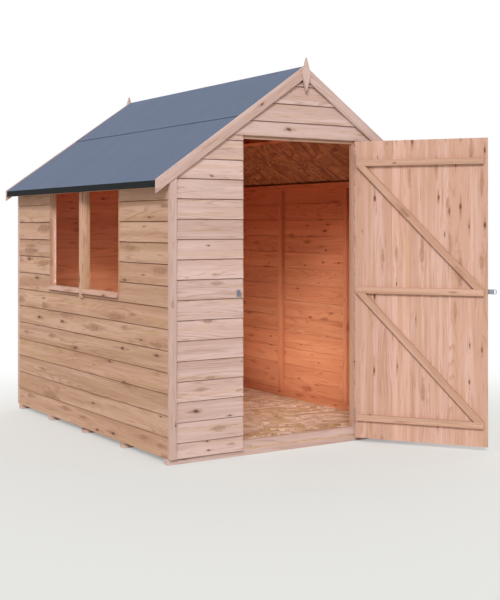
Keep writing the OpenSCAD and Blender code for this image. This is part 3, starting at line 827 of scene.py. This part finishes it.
def felt_sheet(name, node, path, seed):
    """Felt along Y on a path of (x, z) points, its outer side on the left of the path."""
    low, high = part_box(node)
    bm = bmesh.new()
    count = 64
    rows = []
    for i in range(count + 1):
        y = low.y + (high.y - low.y) * i / count
        row_out, row_in = [], []
        for k, (x, z) in enumerate(path):
            before, after = path[max(k - 1, 0)], path[min(k + 1, len(path) - 1)]
            run = Vector((after[0] - before[0], after[1] - before[1])).normalized()
            out = Vector((-run.y, run.x))
            dip = 0.0005 * abs(noise.noise(Vector((x * 5, y * 2.5, seed))))
            row_out.append(bm.verts.new((x - out.x * dip, y, z - out.y * dip)))
            row_in.append(bm.verts.new((x - out.x * FELT_T, y, z - out.y * FELT_T)))
        rows.append(row_out + row_in[::-1])
    for a, b in zip(rows, rows[1:]):
        for k in range(len(a)):
            n = (k + 1) % len(a)
            bm.faces.new((a[k], a[n], b[n], b[k]))
    bm.faces.new(rows[0])
    bm.faces.new(rows[-1][::-1])
    bmesh.ops.recalc_face_normals(bm, faces=bm.faces)
    for face in bm.faces:
        face.material_index = int(face.normal.z < 0.3)
    mesh = bpy.data.meshes.new(name)
    bm.to_mesh(mesh)
    bm.free()
    return add_piece(name, mesh, [FELT, FELT_EDGE], "shed", [node])


def felts():
    """Each slope's felt, folded round the eave and down to its hem, and the strip over the
    ridge. fold is how much of the slope the fold's rounding takes up."""
    slope_steps, fold_steps, fold = 12, 4, 0.006
    for side, node in ((-1, "felt_left"), (1, "felt_right")):
        low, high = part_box(node)
        top, hem = high.z, low.z
        edge_z = top - FELT_X * SLOPE
        path = []
        for k in range(slope_steps + 1):
            run = k * (FELT_X - fold) / slope_steps
            path.append((side * run, top - run * SLOPE))
        for k in range(1, fold_steps + 1):
            share = k / fold_steps
            path.append((side * (FELT_X - fold * (1 - share) ** 2),
                         edge_z + (fold * SLOPE) * (1 - share) - fold * 0.8 * share * share))
        path += [(side * FELT_X, (edge_z + hem) / 2), (side * FELT_X, hem)]
        if side < 0:
            path.reverse()
        felt_sheet(node + "_sheet", node, path, math.pi / 2 - math.atan(SLOPE) + side)
    low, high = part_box("ridge_felt")
    path = [(high.x * k / slope_steps, high.z - abs(high.x * k / slope_steps) * SLOPE)
            for k in range(-slope_steps, slope_steps + 1)]
    felt_sheet("ridge_felt_sheet", "ridge_felt", path, 9)


# ---------------------------------------------------------------------------------------
# Metal and glass


def soften(node, width):
    """Rounds a CAD node's sharp edges without touching its mesh."""
    piece = frame["nodes"][node]
    weld = piece.modifiers.new("weld", "WELD")
    weld.merge_threshold = 1e-5
    bevel = piece.modifiers.new("bevel", "BEVEL")
    bevel.width = width
    bevel.segments = 2
    bevel.limit_method = "ANGLE"
    bevel.angle_limit = math.radians(40)


def finish_node(node, material, width=0.0):
    """Gives a CAD node its material and slot, with its edges rounded by width if given."""
    piece = frame["nodes"][node]
    piece.data.materials.clear()
    piece.data.materials.append(material)
    if width:
        soften(node, width)


def carried_nodes():
    """The pieces that are the CAD nodes themselves."""
    finish_node("floor_panel", STRAND_FLOOR)
    finish_node("roof_sheet_left", STRAND_ROOF_SHADED)
    finish_node("roof_sheet_right", STRAND_ROOF_SHADED)
    finish_node("hinge_straps", IRON, 0.0005)
    finish_node("hinge_plates", IRON, 0.0005)
    finish_node("hasp_plate", ZINC, 0.0004)
    finish_node("hasp", ZINC, 0.0004)
    finish_node("staple", ZINC, 0.0008)
    finish_node("window_panes", GLASS)


def heads(name, spots, size, material, body="shed"):
    """Round nail or screw heads at (place, outward) spots, joined into one piece."""
    radius, rise = size
    # A head's rings from its foot up, as shares of its radius and of its rise
    dome = ((1, -0.3), (1, 0.45), (0.72, 0.86))
    sides = 10
    turns = [math.tau * k / sides for k in range(sides)]
    bm = bmesh.new()
    for place, outward in spots:
        turn = Vector(outward).to_track_quat("Z", "Y").to_matrix().to_4x4()
        to_wall = Matrix.Translation(place) @ turn
        rings = []
        for r, h in dome:
            ring = [Vector((r * radius * math.cos(a), r * radius * math.sin(a), h * rise))
                    for a in turns]
            rings.append([bm.verts.new(to_wall @ p) for p in ring])
        top = bm.verts.new(to_wall @ Vector((0, 0, rise)))
        for a, b in zip(rings, rings[1:]):
            for k in range(sides):
                n = (k + 1) % sides
                bm.faces.new((a[k], a[n], b[n], b[k]))
        for k in range(sides):
            bm.faces.new((rings[-1][k], rings[-1][(k + 1) % sides], top))
        bm.faces.new(rings[0][::-1])
    for face in bm.faces:
        face.smooth = True
    mesh = bpy.data.meshes.new(name)
    bm.to_mesh(mesh)
    bm.free()
    return add_piece(name, mesh, [material], body)


def spaced(first, last, gap):
    """Even places from first to last, about gap apart."""
    count = max(1, round((last - first) / gap))
    return [first + (last - first) * i / count for i in range(count + 1)]


def cladding_nails():
    """One nail through each board at each stud, a little above the board's lower edge."""
    spots = []
    lows = steps(BASE_Z, SIDE_PITCH, WALL_TOP)
    for side, node in ((-1, "left_studs"), (1, "right_studs")):
        for low, high in parts(node):
            y = (low.y + high.y) / 2
            for v in lows:
                w = FRAME_X + board_front(v, v + SIDE_PITCH, v + NAIL_UP)
                if v + NAIL_UP < high.z:
                    spots.append((Vector((side * w, y, v + NAIL_UP)), (side, 0, 0)))
    lows = low_edges()
    xs = {-1: [(a.x + b.x) / 2 for a, b in parts("front_studs") + parts("door_posts")],
          1: [(a.x + b.x) / 2 for a, b in parts("back_studs")]}
    for side in (-1, 1):
        for v, above in zip(lows, lows[1:]):
            w = FRAME_Y + board_front(v, above, v + NAIL_UP)
            reach = roof_half(v) - 0.08
            spots += [(Vector((x, side * w, v + NAIL_UP)), (0, side, 0)) for x in xs[side]
                      if abs(x) < reach]
    lows = gable_edges()
    for side in (-1, 1):
        for v, above in zip(lows, lows[1:]):
            w = FRAME_Y + board_front(v, above, v + NAIL_UP)
            x = roof_half(v + NAIL_UP) - 0.075
            spots += [(Vector((s * x, side * w, v + NAIL_UP)), (0, side, 0)) for s in (-1, 1)]
    heads("cladding_nails", spots, CLADDING_NAIL, NAIL)


def trim_nails():
    """Nails down the middle of the corner trims and along the barge boards."""
    spots = []
    for low, high in parts("corner_trims"):
        x = (low.x + high.x) / 2
        side = -1 if low.y < 0 else 1
        face = low.y if side < 0 else high.y
        spots += [(Vector((x, face, z)), (0, side, 0)) for z in spaced(0.1, WALL_TOP - 0.12, 0.3)]
    for node in ("front_barge_boards", "back_barge_boards"):
        for low, high in parts(node):
            side = -1 if low.y < 0 else 1
            face = low.y if side < 0 else high.y
            turn = -1 if low.x < 0 else 1
            reach = high.x - low.x
            for x in spaced(0.12, reach - 0.05, 0.24):
                z = high.z - x * SLOPE - 0.036
                spots.append((Vector((turn * x, face, z)), (0, side, 0)))
    heads("trim_nails", spots, TRIM_NAIL, NAIL)


def door_nails():
    """Nails through the ledges, one for each door board."""
    spots = []
    low, high = parts("door_boards", shut=True)[0]
    width = (high.x - low.x) / DOOR_BOARDS
    inward = OPENED.to_3x3() @ Vector((0, 1, 0))
    for a, b in parts("door_ledges", shut=True):
        for i in range(DOOR_BOARDS):
            x = min(max(low.x + (i + 0.5) * width, a.x + 0.02), b.x - 0.02)
            z = (a.z + b.z) / 2 + (0.008 if i % 2 else -0.008)
            spots.append((OPENED @ Vector((x, b.y, z)), inward))
    heads("door_nails", spots, DOOR_NAIL, NAIL, "door")


def felt_clouts():
    """Clout nails along the turned-down edges and the lower edges of the ridge felt."""
    hem, spots = [], []
    low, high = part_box("felt_right")
    pitch = math.atan(SLOPE)
    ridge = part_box("ridge_felt")[1]
    for side in (-1, 1):
        for y in spaced(low.y + 0.03, high.y - 0.03, 0.1):
            hem.append((Vector((side * high.x, y, low.z + 0.018)), (side, 0, 0)))
        x = ridge.x - 0.02
        for y in spaced(low.y + 0.03, high.y - 0.03, 0.12):
            spots.append((Vector((side * x, y, ridge.z - x * SLOPE)),
                          (side * math.sin(pitch), 0, math.cos(pitch))))
    heads("hem_clouts", hem, CLOUT, FELT_EDGE)
    heads("felt_clouts", spots, CLOUT, FELT)


def screws():
    """Screws in the tee hinges, the hasp's plate and the staple's plate."""
    wall, leaf = [], []
    out = OPENED.to_3x3() @ Vector((0, -1, 0))
    for low, high in parts("hinge_plates"):
        for x in (high.x - 0.018, high.x - 0.008):
            for z in spaced(low.z + 0.014, high.z - 0.014, 0.035):
                wall.append((Vector((x, -HALF_D - IRON_T, z)), (0, -1, 0)))
    face = parts("door_boards", shut=True)[0][0].y - IRON_T
    for low, high in parts("hinge_straps", shut=True):
        for x in spaced(low.x + 0.018, high.x - 0.035, 0.07):
            leaf.append((OPENED @ Vector((x, face, (low.z + high.z) / 2)), out))
    heads("hinge_plate_screws", wall, HINGE_SCREW, IRON)
    heads("hinge_strap_screws", leaf, HINGE_SCREW, IRON, "door")
    low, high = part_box("staple")
    spots = [(Vector(((low.x + high.x) / 2, -HALF_D - STAPLE_T, z)), (0, -1, 0))
             for z in (low.z + 0.006, high.z - 0.006)]
    heads("staple_screws", spots, SMALL_SCREW, ZINC)
    low, high = parts("hasp_plate", shut=True)[0]
    spots = [(OPENED @ Vector((x, high.y - IRON_T, z)), out)
             for x, z in ((high.x - 0.008, high.z - 0.009), (high.x - 0.008, low.z + 0.009),
                          (high.x - 0.026, (low.z + high.z) / 2))]
    heads("hasp_screws", spots, SMALL_SCREW, ZINC, "door")


# ---------------------------------------------------------------------------------------
# Stage


def floor():
    """A pale disc that fades to white behind the shed for what the camera sees."""
    bm = bmesh.new()
    bmesh.ops.create_circle(bm, cap_ends=True, radius=60, segments=96)
    mesh = bpy.data.meshes.new("ground")
    bm.to_mesh(mesh)
    bm.free()
    disc = bpy.data.objects.new("ground", mesh)
    bpy.context.scene.collection.objects.link(disc)
    g = Graph("ground")
    # Partly white around a point before the shed's left corner, and all white far from it
    at = g.vector("SUBTRACT", g.place(), (-1.5, -3.0, 0.0))
    far = g.put("VectorMath", {0: at}, operation="LENGTH").outputs["Value"]
    share = g.math("MULTIPLY", g.spread(far, 3.6, 6.6, 0.3, 1.0), g.seen())
    white = g.put("Emission", {"Color": (1, 1, 1), "Strength": 1.0})
    g.finish((0.76, 0.787, 0.772), 0.9, 0.1)
    both = g.put("MixShader", {0: share, 1: g.shader.outputs[0], 2: white.outputs[0]})
    g.feed(g.output.inputs["Surface"], both.outputs[0])
    mesh.materials.append(g.material)


def sky():
    """White for what the camera sees, and a warm grey that lights the shed from all sides."""
    world = bpy.data.worlds.new("studio")
    bpy.context.scene.world = world
    nodes = Nodes(world)
    ambient = nodes.put("Background", {"Color": (1.0, 0.945, 0.885), "Strength": 0.5})
    white = nodes.put("Background", {"Color": (1, 1, 1)})
    both = nodes.put("MixShader", {0: nodes.seen(), 1: ambient.outputs[0], 2: white.outputs[0]})
    nodes.put("OutputWorld", {"Surface": both.outputs[0]})


def lamps():
    """A soft sun from the front left, a wide fill from the back right, and two in the room."""
    sun("key", 2.3, 17, (1.0, 0.995, 0.99), Vector((0.54, 0.68, -0.5)))
    sun("fill", 0.8, 80, (1, 1, 1), Vector((-0.62, -0.62, -0.3)))
    room_lamp("room_low", 8.3, (1.0, 0.92, 0.82), (1.46, 1.9), 0.09, 1)
    room_lamp("room_high", 3, (1.0, 0.95, 0.9), (1.2, 1.7), 1.6, -1)
    bpy.data.lights["room_high"].spread = math.radians(70)


def sun(name, power, width, color, along):
    """A sun that is width degrees wide and shines along a vector."""
    lamp = bpy.data.lights.new(name, "SUN")
    lamp.energy = power
    lamp.angle = math.radians(width)
    lamp.color = color
    aim(name, lamp, Vector((0, 0, 0)), along)


def room_lamp(name, power, color, size, height, up):
    """A wide lamp in the room, shining up or down."""
    lamp = bpy.data.lights.new(name, "AREA")
    lamp.shape = "RECTANGLE"
    lamp.size, lamp.size_y = size
    lamp.energy = power
    lamp.color = color
    aim(name, lamp, Vector((0, 0, height)), Vector((0, 0, up)))
    bpy.data.objects[name].visible_camera = False


def aim(name, data, place, along):
    """Puts a lamp into the scene at a place, shining along a vector."""
    lamp = bpy.data.objects.new(name, data)
    lamp.location = place
    lamp.rotation_euler = (-along).to_track_quat("Z", "Y").to_euler()
    bpy.context.scene.collection.objects.link(lamp)


def camera():
    """A long lens at standing height in front of the left corner. The shift sets the framing."""
    data = bpy.data.cameras.new("camera")
    data.sensor_width = 36
    data.lens = 65.3
    data.shift_y = -0.123
    eye = bpy.data.objects.new("camera", data)
    eye.location = (-3.7407, -6.3702, 1.3101)
    eye.rotation_euler = (math.radians(90), 0, math.radians(-32.741))
    bpy.context.scene.collection.objects.link(eye)
    bpy.context.scene.camera = eye


bpy.context.scene.view_settings.view_transform = "Standard"
side_walls()
end_walls()
frame_timbers()
window_sill()
window_studs()
door_boards()
felts()
carried_nodes()
cladding_nails()
trim_nails()
door_nails()
felt_clouts()
screws()
floor()
sky()
lamps()
camera()
